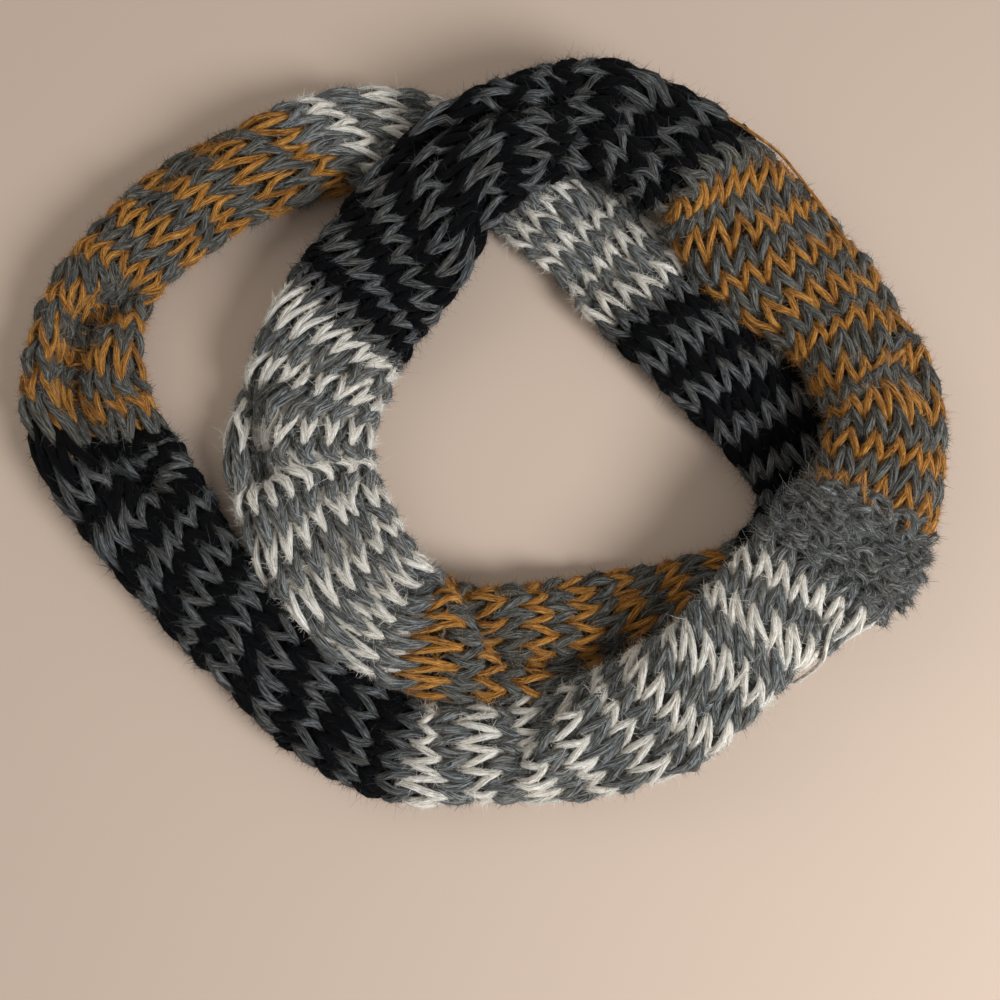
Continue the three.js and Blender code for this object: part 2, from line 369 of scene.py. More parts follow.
# Presses a crease into the outline along a drawn line, with a roll of cloth beside it.
def foldAlong(fold):
    lineLength, lineAcross = foldLine(fold)
    width, side = fold["width"], fold["side"]
    reach = width * 5 + 6
    near = (ringLength > lineLength.min() - reach) & (ringLength < lineLength.max() + reach)
    chosen = np.nonzero(near)[0]
    best, sign, share = gapToLine(chosen, lineLength, lineAcross)
    fade = np.clip(np.minimum(share, 1 - share) / press["fadeShare"], 0, 1)
    fade = fade * fade * (3 - 2 * fade)
    aside = best * sign * side
    reachHere = np.where(aside > 0, width, width * fold.get("slope", 1))
    dip = fade * fold["depth"] * np.exp(-((best / reachHere) ** 2))
    rollGap = (aside - press["rollAt"] * width) / (press["rollSpread"] * width)
    rise = fade * fold["roll"] * np.exp(-(rollGap ** 2))
    s, h = outline[0, chosen], outline[1, chosen]
    if fold.get("straight"):
        # Straight down, on the upper face only, and never through the underside.
        tall = halfHeight[chosen, None]
        upper = np.clip(h / (press["upperFace"] * tall), 0, 1)
        h = np.maximum(h - dip * upper, np.minimum(h, press["lowest"] * tall))
        # The roll leans over the crease.
        leanGap = (aside - press["leanAt"] * width) / (press["leanSpread"] * width)
        crown = np.clip((h / tall - press["crownFrom"]) / press["crownOver"], 0, press["crownMost"])
        s = s + side * fold.get("lean", 0) * fade * np.exp(-(leanGap ** 2)) * crown
        dip = 0
    radius = np.maximum(np.hypot(s, h), 1e-6)
    shrink = np.maximum(1 - (dip - rise) / radius, press["smallestShare"])
    outline[0, chosen], outline[1, chosen] = s * shrink, h * shrink


for fold in folds:
    foldAlong(fold)

for angle, width in gathers:
    spare = np.clip(girth - outlineSteps().sum(axis=1), 0, 40)
    deepest = np.minimum(halfHeight * 0.75, 9.0)
    outline = pulledIn(np.minimum(spare * 0.3, deepest), angle, width)

points = (
    centre[:, None, :]
    + inward[:, None, :] * outline[0][..., None]
    + upward[:, None, :] * outline[1][..., None]
)
points[..., 2] = np.maximum(points[..., 2], floorClear)

# Places round the outline are spread by its length, from the middle of the underside.
closed = np.concatenate([points, points[:, :1]], axis=1)
steps = np.linalg.norm(np.diff(closed, axis=1), axis=2)
along = np.concatenate([np.zeros((ringCount, 1)), np.cumsum(steps, axis=1)], axis=1)
around = along[:, -1]
skin = np.empty((ringCount, roundCount, 3))
for r in range(ringCount):
    wanted = np.arange(roundCount) * around[r] / roundCount
    for axis in range(3):
        skin[r, :, axis] = np.interp(wanted, along[r], closed[r, :, axis])


def softened(grid, times):
    for _ in range(times):
        grid = (grid * 2 + np.roll(grid, 1, 0) + np.roll(grid, -1, 0)) / 4
    return grid


skin = softened(skin, 3)
acrossStep = np.roll(skin, -1, 1) - np.roll(skin, 1, 1)
alongStep = np.roll(skin, -2, 0) - np.roll(skin, 2, 0)
skinNormal = unit(np.cross(acrossStep, alongStep))
lateral = np.einsum("rmk,rk->rm", skin - centre[:, None, :], inward)
say(f"skin of {ringCount} rings, girth {around.min():.0f} to {around.max():.0f} mm")

# Wale drift adds up along the loop, in shares of a turn round the tube.
drift = np.tan(np.radians(values[:, 7])) * (loopLength / ringCount) / around
driftSum = np.cumsum(drift)

# A narrow strand hides its spare wales underneath, where they crowd together.
crowding = np.clip(1 - around / crowdedGirth, 0, mostCrowded)


# Smooth lookup in a grid that wraps both ways. ring and place are in grid steps.
def onGrid(grid, ring, place):
    r, p = np.floor(ring).astype(int), np.floor(place).astype(int)
    fr, fp = ring - r, place - p
    if grid.ndim == 3:
        fr, fp = fr[..., None], fp[..., None]
    a = grid[r % ringCount, p % roundCount]
    b = grid[(r + 1) % ringCount, p % roundCount]
    c = grid[r % ringCount, (p + 1) % roundCount]
    d = grid[(r + 1) % ringCount, (p + 1) % roundCount]
    return (a * (1 - fr) + b * fr) * (1 - fp) + (c * (1 - fr) + d * fr) * fp


wander = {"waves": 22, "round": 0.0022, "along": 0.3}
wanders = [
    (rng.integers(12, 60), rng.integers(-3, 4), rng.uniform(0, 2 * np.pi), rng.normal(0, 1, 2))
    for _ in range(wander["waves"])
]


# Small smooth unevenness of the knitting: share of a turn, and millimetres along.
def wandered(turnShare, length):
    sway, shift = 0.0, 0.0
    for along, round_, phase, (a, b) in wanders:
        value = np.sin(2 * np.pi * (along * length / loopLength + round_ * turnShare) + phase)
        sway, shift = sway + a * value * wander["round"], shift + b * value * wander["along"]
    return turnShare + sway, length + shift


# A point of the knitting: share of a turn round the tube, length along it, height off the skin.
def onKnit(turnShare, length, out):
    turnShare, length = wandered(turnShare, length)
    ring = length / loopLength * ringCount
    whole = np.floor(ring / ringCount)
    drifted = np.interp(ring - whole * ringCount, np.arange(ringCount), driftSum)
    drifted = drifted + whole * driftSum[-1]
    wale = turnShare + drifted
    crowd = np.interp(ring - whole * ringCount, np.arange(ringCount), crowding)
    share = wale
    for _ in range(7):
        share = wale - crowd * np.sin(2 * np.pi * share) / (2 * np.pi)
    place = share * roundCount
    reach = onGrid(lateral, ring, place)
    slant = np.tan(np.radians(routeAt(placeAt(length))[..., 6]))
    ring = ring + slant * reach / loopLength * ringCount
    base = onGrid(skin, ring, place)
    normal = unit(onGrid(skinNormal, ring, place))
    return base + normal * np.asarray(out)[..., None], normal


def makeMesh(name, verts, faces, uvs=None, mapName="OFBake", smooth=True):
    mesh = bpy.data.meshes.new(name)
    faces = np.asarray(faces)
    corner = faces.shape[1]
    mesh.vertices.add(len(verts))
    mesh.vertices.foreach_set("co", (np.asarray(verts) * mm).astype(np.float32).ravel())
    mesh.loops.add(faces.size)
    mesh.loops.foreach_set("vertex_index", faces.astype(np.int32).ravel())
    mesh.polygons.add(len(faces))
    mesh.polygons.foreach_set("loop_start", np.arange(0, faces.size, corner, dtype=np.int32))
    mesh.update(calc_edges=True)
    if uvs is not None:
        layer = mesh.uv_layers.new(name=mapName)
        layer.data.foreach_set("uv", np.asarray(uvs, np.float32).ravel())
    mesh.polygons.foreach_set("use_smooth", np.full(len(faces), smooth))
    mesh.validate()
    piece = bpy.data.objects.new(name, mesh)
    bpy.context.scene.collection.objects.link(piece)
    return piece


def addAttribute(piece, name, perVertex):
    layer = piece.data.attributes.new(name, "FLOAT", "POINT")
    layer.data.foreach_set("value", np.asarray(perVertex, np.float32).ravel())


def yarnFrames(line, normals, closedLine=True):
    ahead = np.roll(line, -1, -2) - np.roll(line, 1, -2)
    if not closedLine:
        ahead[..., 0, :] = line[..., 1, :] - line[..., 0, :]
        ahead[..., -1, :] = line[..., -1, :] - line[..., -2, :]
    ahead = unit(ahead)
    side = unit(np.cross(ahead, normals))
    return side, np.cross(side, ahead)


# Rings of points round a line of yarn.
def sweptYarn(line, side, up, radius):
    angle = np.arange(stitch["sides"]) / stitch["sides"] * 2 * np.pi
    return (
        line[..., None, :]
        + side[..., None, :] * (np.cos(angle) * radius[..., None])[..., None]
        + up[..., None, :] * (np.sin(angle) * radius[..., None])[..., None]
    )


def newMaterial(name):
    material = bpy.data.materials.new(name)
    material.use_nodes = True
    tree = material.node_tree
    shader = tree.nodes["Principled BSDF"]
    return material, tree, shader


def node(tree, kind, **sockets):
    made = tree.nodes.new(kind)
    for key, value in sockets.items():
        if hasattr(made, key):
            setattr(made, key, value)
        else:
            made.inputs[key].default_value = value
    return made


def ramp(tree, stops):
    made = tree.nodes.new("ShaderNodeValToRGB")
    elements = made.color_ramp.elements
    while len(elements) < len(stops):
        elements.new(0.5)
    for element, (position, colour) in zip(elements, stops):
        element.position = position
        element.color = (*colour, 1)
    return made


# A mix of two colours, each of them a plain colour or what another node gives.
def colourMix(tree, factor, first, second):
    made = node(tree, "ShaderNodeMix", data_type="RGBA")
    tree.links.new(factor, made.inputs[0])
    colourInputs = [socket for socket in made.inputs if socket.type == "RGBA"]
    for socket, value in zip(colourInputs, (first, second)):
        if isinstance(value, tuple):
            socket.default_value = (*value, 1)
        else:
            tree.links.new(value, socket)
    return next(socket for socket in made.outputs if socket.type == "RGBA")


def linear(*channels):
    return tuple((c / 255) ** 2.2 for c in channels)


# Each yarn: painted shadow between the fibres, two body tints, pale fibres painted as highlights,
# fuzz, sheen and plumpness.
yarns = {
    "mustard": {"dark": (78, 46, 14), "body": (146, 94, 32), "warm": (174, 116, 44),
                "pale": (216, 160, 84), "fuzz": (206, 160, 98), "sheen": 0.2, "plump": 0.8},
    "black": {"dark": (1, 1, 2), "body": (4, 4, 6), "warm": (9, 9, 10),
              "pale": (20, 22, 27), "fuzz": (36, 39, 45), "sheen": 0.02, "plump": 1.16},
    "white": {"dark": (146, 142, 134), "body": (212, 208, 198), "warm": (230, 222, 208),
              "pale": (254, 252, 247), "fuzz": (240, 240, 236), "sheen": 0.15, "plump": 0.84},
    "grey": {"dark": (44, 45, 46), "body": (88, 91, 91), "warm": (100, 97, 90),
             "pale": (158, 163, 163), "fuzz": (168, 172, 172), "sheen": 0.14, "plump": 1.08},
    # The grey painted darker as shade among the mustard, with a little of its fluff.
    "grey_by_mustard": {"dark": (34, 33, 31), "body": (74, 74, 71), "warm": (84, 79, 70),
                        "pale": (130, 132, 128), "fuzz": (146, 146, 140), "sheen": 0.12,
                        "plump": 1.08},
    # The grey painted darker still as shade among the black, with its dark fluff.
    "grey_shaded_by_black": {"dark": (22, 23, 24), "body": (66, 69, 71), "warm": (78, 75, 70),
                      "pale": (126, 130, 133), "fuzz": (96, 100, 104), "sheen": 0.08,
                      "plump": 0.94},
}
# The cloth behind the rows is painted darker than the yarn, as the shade between the stitches:
# place on the ramp, share of the yarn's colour.
backingPaintedShade = [(0.3, 0.3), (0.75, 0.8)]
# The same grey yarn takes on a little of the fluff of the yarn that it is knitted with, and among
# the mustard and the black it is painted darker, as shade.
greyAmong = {"mustard": "grey_by_mustard", "black": "grey_shaded_by_black", "white": "grey",
             "grey": "grey"}


def yarnMaterial(key):
    look = yarns[key]
    material, tree, shader = newMaterial(f"{key}_yarn")
    links = tree.links
    place = node(tree, "ShaderNodeTexCoord")
    # Fibres run along the yarn: the streaks are stretched along it, and close up round it.
    joined = node(tree, "ShaderNodeCombineXYZ")
    for socket, source in zip("XYZ", ("yarnAlong", "yarnAcross", "yarnOver")):
        own = node(tree, "ShaderNodeAttribute", attribute_name=source)
        links.new(own.outputs["Fac"], joined.inputs[socket])
    streak = node(tree, "ShaderNodeTexNoise", Scale=1.0, Detail=3.0, Roughness=0.6)
    links.new(joined.outputs[0], streak.inputs["Vector"])
    cloud = node(tree, "ShaderNodeTexNoise", Scale=90.0, Detail=2.0, Roughness=0.6)
    links.new(place.outputs["Object"], cloud.inputs["Vector"])
    tint = ramp(tree, [(0.4, linear(*look["body"])), (0.6, linear(*look["warm"]))])
    links.new(cloud.outputs["Fac"], tint.inputs["Fac"])
    # Painted shadow in the low streaks and painted highlight on the high ones, where the bump
    # raises the fibres.
    shade = ramp(tree, [(0.36, (0, 0, 0)), (0.52, (1, 1, 1))])
    links.new(streak.outputs["Fac"], shade.inputs["Fac"])
    lift = ramp(tree, [(0.54, (0, 0, 0)), (0.68, (1, 1, 1))])
    links.new(streak.outputs["Fac"], lift.inputs["Fac"])
    body = colourMix(tree, shade.outputs["Color"], linear(*look["dark"]), tint.outputs["Color"])
    lit = colourMix(tree, lift.outputs["Color"], body, linear(*look["pale"]))
    links.new(lit, shader.inputs["Base Color"])
    bump = node(tree, "ShaderNodeBump", Strength=0.5, Distance=0.0007)
    links.new(streak.outputs["Fac"], bump.inputs["Height"])
    links.new(bump.outputs["Normal"], shader.inputs["Normal"])
    shader.inputs["Roughness"].default_value = 0.92
    shader.inputs["Specular IOR Level"].default_value = 0.12
    shader.inputs["Sheen Weight"].default_value = look["sheen"]
    shader.inputs["Sheen Roughness"].default_value = 0.6
    return material


def fibreMaterial(key, tone):
    look = yarns[key]
    material, _, shader = newMaterial(f"{key}_{tone}_fibre")
    shader.inputs["Base Color"].default_value = (*linear(*look[tone]), 1)
    shader.inputs["Roughness"].default_value = 0.85
    shader.inputs["Specular IOR Level"].default_value = 0.12
    return material


# The cloth in its block's yarn and grey by rows, painted darker as the shade between the stitches.
def backingMaterial(key):
    look, grey = yarns[key], yarns[greyAmong[key]]
    material, tree, shader = newMaterial(f"{key}_backing")
    links = tree.links
    place = node(tree, "ShaderNodeTexCoord")
    rows = node(tree, "ShaderNodeAttribute", attribute_name="rowShare")
    cloud = node(tree, "ShaderNodeTexNoise", Scale=520.0, Detail=3.0, Roughness=0.7)
    links.new(place.outputs["Object"], cloud.inputs["Vector"])
    tints = []
    for body in (linear(*look["body"]), linear(*grey["body"])):
        tint = ramp(tree, [(at, [c * share for c in body]) for at, share in backingPaintedShade])
        links.new(cloud.outputs["Fac"], tint.inputs["Fac"])
        tints.append(tint.outputs["Color"])
    links.new(colourMix(tree, rows.outputs["Fac"], *tints), shader.inputs["Base Color"])
    bump = node(tree, "ShaderNodeBump", Strength=0.8, Distance=0.001)
    links.new(cloud.outputs["Fac"], bump.inputs["Height"])
    links.new(bump.outputs["Normal"], shader.inputs["Normal"])
    shader.inputs["Roughness"].default_value = 0.95
    shader.inputs["Specular IOR Level"].default_value = 0.1
    return material


yarnMaterials = {key: yarnMaterial(key) for key in yarns}
# Plain fibre tones; the pale one is the painted highlight colour.
fibreMaterials = {(key, tone): fibreMaterial(key, tone)
                  for key in yarns for tone in ("pale", "fuzz", "warm")}
backings = {key: backingMaterial(key) for key in greyAmong}

# How much one stitch differs from the next: shares of its swing, rise and depth, and of its size.
uneven = {"swing": 0.09, "rise": 0.07, "depth": 0.12, "sway": 0.035, "along": 0.05}
# The next loops back, which show where the wales stand apart.
underLoop = {"height": 0.8, "plump": 0.82, "aside": 0.5, "depth": 0.5, "sunk": 2.6}
purlShare = 0.9       # a purl bump's size against a knit stitch's


# Centrelines of whole rows, each one closed line round the tube: points, normals and phase.
def rowLines(rowLengths, rowHeights, kind="knit", aside=0.0):
    perStitch, aroundStitches = stitch["points"], stitch["round"]
    count = perStitch * aroundStitches
    t = np.arange(count) / perStitch
    phase = 2 * np.pi * (t % 1.0)
    number = np.floor(t + 0.5).astype(int) % aroundStitches
    rowTotal = len(rowLengths)
    loose = rng.normal(0, 1, (rowTotal, aroundStitches, 5))
    shape = loose[:, number, :]
    swing = stitch["swing"] * (1 + uneven["swing"] * shape[..., 0])
    rise = stitch["rise"] * (1 + uneven["rise"] * shape[..., 1])
    depth = -stitch["depth"] * np.cos(2 * phase)
    deep = depth * (1 + uneven["depth"] * shape[..., 3]) - 0.3 * np.cos(phase)
    apart = np.interp(placeAt(rowLengths), *zip(*ladders))[:, None]
    if kind == "purl":
        rise, deep = rise * purlShare, -deep * purlShare
    narrow = apart * np.sin(phase) * (1 + np.cos(phase)) / 1.3
    sway = uneven["sway"] * shape[..., 2] * (1 + np.cos(phase)) / 2
    if kind == "under":
        deep = deep * underLoop["depth"] - underLoop["sunk"]
    around01 = (t + swing * np.sin(2 * phase) - narrow + sway + aside) / aroundStitches
    heights = rowHeights[:, None]
    length = rowLengths[:, None] - rise * np.cos(phase) * heights
    length = length + uneven["along"] * shape[..., 4] * heights * (1 - np.cos(phase)) / 2
    line, normals = onKnit(around01, length, deep)
    return line, normals, np.broadcast_to(phase, length.shape)


# Radius along a loop: full in the legs, thin where it dives behind.
def plumpness(phase, key):
    legs = (1 - np.cos(2 * phase)) / 2
    thin = stitch["thinGrey"] if key.startswith("grey") else stitch["thin"]
    share = thin + (stitch["full"] - thin) * legs ** 0.9
    return stitch["radius"] * yarns[key]["plump"] * share


# The yarn's twist, and how its streaks repeat along it and round it.
twist = {"length": 60, "along": 0.2, "round": 2.6, "freeRound": 1.4}


# One mesh of all these closed rows of yarn.
def yarnPiece(name, line, normals, key, plump):
    rows, count, sides = line.shape[0], line.shape[1], stitch["sides"]
    side, up = yarnFrames(line, normals)
    rings = sweptYarn(line, side, up, plump)
    verts = rings.reshape(-1, 3)
    verts[:, 2] = np.maximum(verts[:, 2], lowest["yarn"])
    r, c, s = np.meshgrid(np.arange(rows), np.arange(count), np.arange(sides), indexing="ij")
    onward, beside = (c + 1) % count, (s + 1) % sides
    faces = np.stack([
        (r * count + c) * sides + s, (r * count + onward) * sides + s,
        (r * count + onward) * sides + beside, (r * count + c) * sides + beside,
    ], axis=-1).reshape(-1, 4)
    u0, u1 = c / count, (c + 1) / count
    v0 = (r + 0.06 + 0.88 * s / sides) / rows
    v1 = (r + 0.06 + 0.88 * (s + 1) / sides) / rows
    uvs = np.stack([
        np.stack([u0, v0], -1), np.stack([u1, v0], -1),
        np.stack([u1, v1], -1), np.stack([u0, v1], -1),
    ], axis=-2).reshape(-1, 2)
    piece = makeMesh(name, verts, faces, uvs)
    run = np.cumsum(np.linalg.norm(np.roll(line, -1, -2) - line, axis=-1), axis=-1)
    turns = np.round(run[:, -1:] / twist["length"])
    turned = run / run[:, -1:] * turns * 2 * np.pi
    angle = np.arange(sides) / sides * 2 * np.pi
    lean = angle[None, None, :] - turned[..., None]
    shift = rng.uniform(0, 900, (rows, 1, 1))
    alongYarn = run[..., None] * twist["along"] + shift
    addAttribute(piece, "yarnAlong", np.broadcast_to(alongYarn, lean.shape))
    addAttribute(piece, "yarnAcross", twist["round"] * np.cos(lean) + shift * 0.7)
    addAttribute(piece, "yarnOver", twist["round"] * np.sin(lean))
    piece.data.materials.append(yarnMaterials[key])
    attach(piece, "root")
    return piece


# Narrow ribbons, one for each row of points in spine, with this half width at every point.
def ribbons(name, spine, half, key, tone):
    total, count = spine.shape[:2]
    verts = np.stack([spine - half, spine + half], axis=2).reshape(-1, 3)
    verts[:, 2] = np.maximum(verts[:, 2], lowest["fibre"])
    index = np.arange(total)[:, None] * (2 * count) + np.arange(count - 1)[None, :] * 2
    faces = np.stack([index, index + 1, index + 3, index + 2], axis=-1).reshape(-1, 4)
    piece = makeMesh(name, verts, faces, smooth=False)
    piece.data.materials.append(fibreMaterials[key, tone])
    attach(piece, "root")
    return piece


# Fibres along the legs of the stitches: points of a fibre and their spacing in points of the line,
# how far they are shuffled, from where to where round the yarn, and how they stand off at the ends.
lay = {
    "perStitch": 22, "underPerStitch": 12,
    "steps": 5, "stride": 1.25, "shuffle": 1.7,
    "from": -8, "to": 188, "turn": 0.09,
    "lift": 0.55, "off": 1.03, "clear": 0.05,
    "widths": (0.09, 0.24), "taper": 0.7,
}


# Fibres that lie along the legs of the stitches and part from them a little at their ends, in the
# pale tone that paints highlight.
def layFibres(name, line, normals, plump, key, perStitch):
    rows, count = line.shape[:2]
    side, up = yarnFrames(line, normals)
    total = int(rows * stitch["round"] * perStitch)
    row = rng.integers(0, rows, total)
    half = stitch["points"] / 2
    leg = rng.integers(0, 2 * stitch["round"], total)
    steps, stride = lay["steps"], lay["stride"]
    start = (leg + 0.5) * half - steps * stride / 2 + rng.normal(0, lay["shuffle"], total)
    angle = rng.uniform(np.radians(lay["from"]), np.radians(lay["to"]), total)
    turn = rng.normal(0, lay["turn"], total)
    lift = rng.uniform(0.0, lay["lift"], total) ** 1.5
    width = rng.uniform(*lay["widths"], total)
    spine, halves = [], []
    for k in range(steps):
        at = start + k * stride
        i = np.floor(at).astype(int) % count
        j = (i + 1) % count
        f = (at - np.floor(at))[:, None]
        middle = line[row, i] * (1 - f) + line[row, j] * f
        sideHere = unit(side[row, i] * (1 - f) + side[row, j] * f)
        upHere = unit(up[row, i] * (1 - f) + up[row, j] * f)
        far = abs(k - (steps - 1) / 2) / ((steps - 1) / 2)
        reach = plump[row, i] * lay["off"] + lift * far ** 2 + lay["clear"]
        a = angle + turn * k
        radial = sideHere * np.cos(a)[:, None] + upHere * np.sin(a)[:, None]
        spine.append(middle + radial * reach[:, None])
        across = upHere * np.cos(a)[:, None] - sideHere * np.sin(a)[:, None]
        halves.append(across * (width * (1 - lay["taper"] * far ** 2) / 2)[:, None])
    return ribbons(name, np.stack(spine, 1), np.stack(halves, 1), key, "pale")


# Loose fibres that stand off the yarn: narrow bent ribbons.
def looseFibres(name, line, normals, plump, key,
                perPoint, lengths, width, lift, segments, hug, tone):
    flat, flatNormals, radius = line.reshape(-1, 3), normals.reshape(-1, 3), plump.reshape(-1)
    tangent = unit(np.roll(line, -1, -2) - line).reshape(-1, 3)
    total = int(len(flat) * perPoint)
    pick = rng.integers(0, len(flat), total)
    out = unit(rng.normal(0, 1, (total, 3)) + flatNormals[pick] * lift)
    base = flat[pick] + out * radius[pick, None] * 0.85
    heading = unit(tangent[pick] * rng.choice([-1, 1], (total, 1)) * hug + out * 0.75
                   + rng.normal(0, 0.75, (total, 3)))
    bend = unit(rng.normal(0, 1, (total, 3)))
    size = rng.uniform(lengths[0], lengths[1], total)
    across = unit(np.cross(heading, rng.normal(0, 1, (total, 3))))
    t = np.linspace(0, 1, segments + 1)[None, :, None]
    bent = heading[:, None] * t + bend[:, None] * (0.45 * t * t)
    spine = base[:, None] + bent * size[:, None, None]
    halves = across[:, None] * (width * (1 - 0.75 * t) / 2)
    return ribbons(name, spine, np.broadcast_to(halves, spine.shape), key, tone)


backing = {"sides": 64, "ringStep": 3, "sunk": 2.4}


# The cloth itself: one layer of knitting right round, open at both ends.
def backingPiece(name, first, last, key, rowLengths):
    rings = max(4, int((last - first) / backing["ringStep"]))
    sides = backing["sides"]
    lengths = np.linspace(first, last, rings + 1)
    share = np.arange(sides) / sides
    lengthGrid, shareGrid = np.meshgrid(lengths, share, indexing="ij")
    verts, _ = onKnit(shareGrid, lengthGrid, np.full(lengthGrid.shape, -backing["sunk"]))
    verts = verts.reshape(-1, 3)
    verts[:, 2] = np.maximum(verts[:, 2], lowest["cloth"])
    r, s = np.meshgrid(np.arange(rings), np.arange(sides), indexing="ij")
    a, b = r * sides + s, r * sides + (s + 1) % sides
    c, d = (r + 1) * sides + (s + 1) % sides, (r + 1) * sides + s
    faces = np.stack([a, b, c, d], axis=-1).reshape(-1, 4)
    corners = [(r, s), (r, s + 1), (r + 1, s + 1), (r + 1, s)]
    uvs = np.stack([np.stack([j / sides, i / rings], -1) for i, j in corners], axis=-2)
    piece = makeMesh(name, verts, faces, uvs.reshape(-1, 2))
    rowNumber = np.interp(lengthGrid, rowLengths, np.arange(len(rowLengths)))
    addAttribute(piece, "rowShare", (1 - np.cos(np.pi * rowNumber)) / 2)
    piece.data.materials.append(backings[key])
    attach(piece, "root")
    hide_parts(name.replace("_cloth", ""))
    return piece


# Rows stand further apart along the tube where they lie slanted across it.
steepestRow = 46
rowWeight = np.cos(np.radians(np.clip(np.abs(routeAt(finePlaces)[:, 6]), 0, steepestRow)))
rowSteps = (rowWeight[1:] + rowWeight[:-1]) / 2 * np.diff(fineLength)
rowSum = np.concatenate([[0], np.cumsum(rowSteps)])


# Middle and height of each of this many rows between two lengths along the tube.
def rowsBetween(first, last, rows):
    edges = np.interp([first, last], fineLength, rowSum)
    sums = edges[0] + np.arange(rows + 1) * (edges[1] - edges[0]) / rows
    edgeLengths = np.interp(sums, rowSum, fineLength)
    return (edgeLengths[1:] + edgeLengths[:-1]) / 2, np.diff(edgeLengths)


# Fibres that stand off the yarn, so many for each point of its line.
napTypes = {
    "nap": {"perPoint": 15.0, "lengths": (1.0, 3.4), "width": 0.2, "lift": 1.0, "segments": 1,
            "hug": 0.9, "tone": "warm"},
    "halo": {"perPoint": 2.4, "lengths": (2.4, 7.5), "width": 0.11, "lift": 1.2, "segments": 3,
             "hug": 1.3, "tone": "fuzz"},
}


def knitPieces(block, yarnKey, line, normals, plump, dense=1.0):
    made = [yarnPiece(f"{block}_{yarnKey}_rows", line, normals, yarnKey, plump)]
    made.append(layFibres(f"{block}_{yarnKey}_lay", line, normals, plump, yarnKey,
                          lay["perStitch"] * dense))
    for kind, setting in napTypes.items():
        own = dict(setting, perPoint=setting["perPoint"] * dense)
        made.append(looseFibres(f"{block}_{yarnKey}_{kind}", line, normals, plump, yarnKey, **own))
    return made


def girthAt(length):
    return float(np.interp(length, ringLength, around))


# Blocks where the next loops back show, and from which row.
underRows = {"white_section_1": 0, "white_section_2": 0, "mustard_section_3": 9}

for number, (block, key, firstStation) in enumerate(blocks[:-1]):
    following = blocks[number + 1][2]
    first, last = float(lengthAt(firstStation)), float(lengthAt(following))
    reach = np.diff(np.interp([first, last], fineLength, rowSum))[0]
    rows = int(round(reach / stitch["row"] / 2)) * 2
    rowLengths, rowHeights = rowsBetween(first, last, rows)
    line, normals, phase = rowLines(rowLengths, rowHeights)
    extras = []
    for yarnKey, chosen in ((key, slice(0, None, 2)), (greyAmong[key], slice(1, None, 2))):
        plump = plumpness(phase[chosen], yarnKey)
        extras += knitPieces(block, yarnKey, line[chosen], normals[chosen], plump)
    under = underRows.get(block)
    if under is not None:
        lowHeights = rowHeights[under:] * underLoop["height"]
        low, lowNormals, lowPhase = rowLines(rowLengths[under:], lowHeights, "under",
                                             underLoop["aside"])
        for yarnKey, start in ((key, (under + 1) % 2), (greyAmong[key], under % 2)):
            chosen = slice(start, None, 2)
            plump = plumpness(lowPhase[chosen], yarnKey) * underLoop["plump"]
            extras.append(yarnPiece(f"{block}_{yarnKey}_under", low[chosen], lowNormals[chosen],
                                    yarnKey, plump))
            extras.append(layFibres(f"{block}_{yarnKey}_underlay", low[chosen], lowNormals[chosen],
                                    plump, yarnKey, lay["underPerStitch"]))
    cloth = backingPiece(f"{block}_cloth", first, last, key, rowLengths)
    width = girthAt((first + last) / 2)
    say(f"{block}: {rows} rows")


# The sewn joint: cramped rows of purl bumps, each of which stands out by its own amount.
joint = {"rows": 8, "overlap": 1.5, "rowHeight": 1.5, "plump": 0.8, "dense": 1.6,
         "bump": 1.8, "tangle": 3.0}
block, key, firstStation = blocks[-1]
first, last = float(lengthAt(firstStation)), float(lengthAt(stationCount))
rowLengths, rowHeights = rowsBetween(
    first - joint["overlap"], last + joint["overlap"], joint["rows"])
line, normals, phase = rowLines(rowLengths, rowHeights * joint["rowHeight"], "purl")
bumps = rng.uniform(0.2, 1.0, (joint["rows"], stitch["round"] * 2))
bump = bumps[:, (np.arange(line.shape[1]) * 2 // stitch["points"]) % bumps.shape[1]]
line = line + normals * (bump * joint["bump"] * np.abs(np.cos(phase)))[..., None]
wild = rng.normal(0, 1, line.shape)
for _ in range(5):
    wild = (np.roll(wild, 1, 1) + wild + np.roll(wild, -1, 1)) / 3
line = line + wild * joint["tangle"]
plump = stitch["radius"] * joint["plump"] * (1 + 0.1 * np.cos(2 * phase))
extras = knitPieces(block, key, line, normals, plump, joint["dense"])
cloth = backingPiece("sewn_joint_cloth", first, last, key, rowLengths)
width = girthAt((first + last) / 2)
say("sewn joint")


# The two free yarns.
freeNap = {"perPoint": 8.0, "lengths": (0.8, 2.6), "width": 0.1, "lift": 0.3, "segments": 2,
           "hug": 1.5, "tone": "fuzz"}


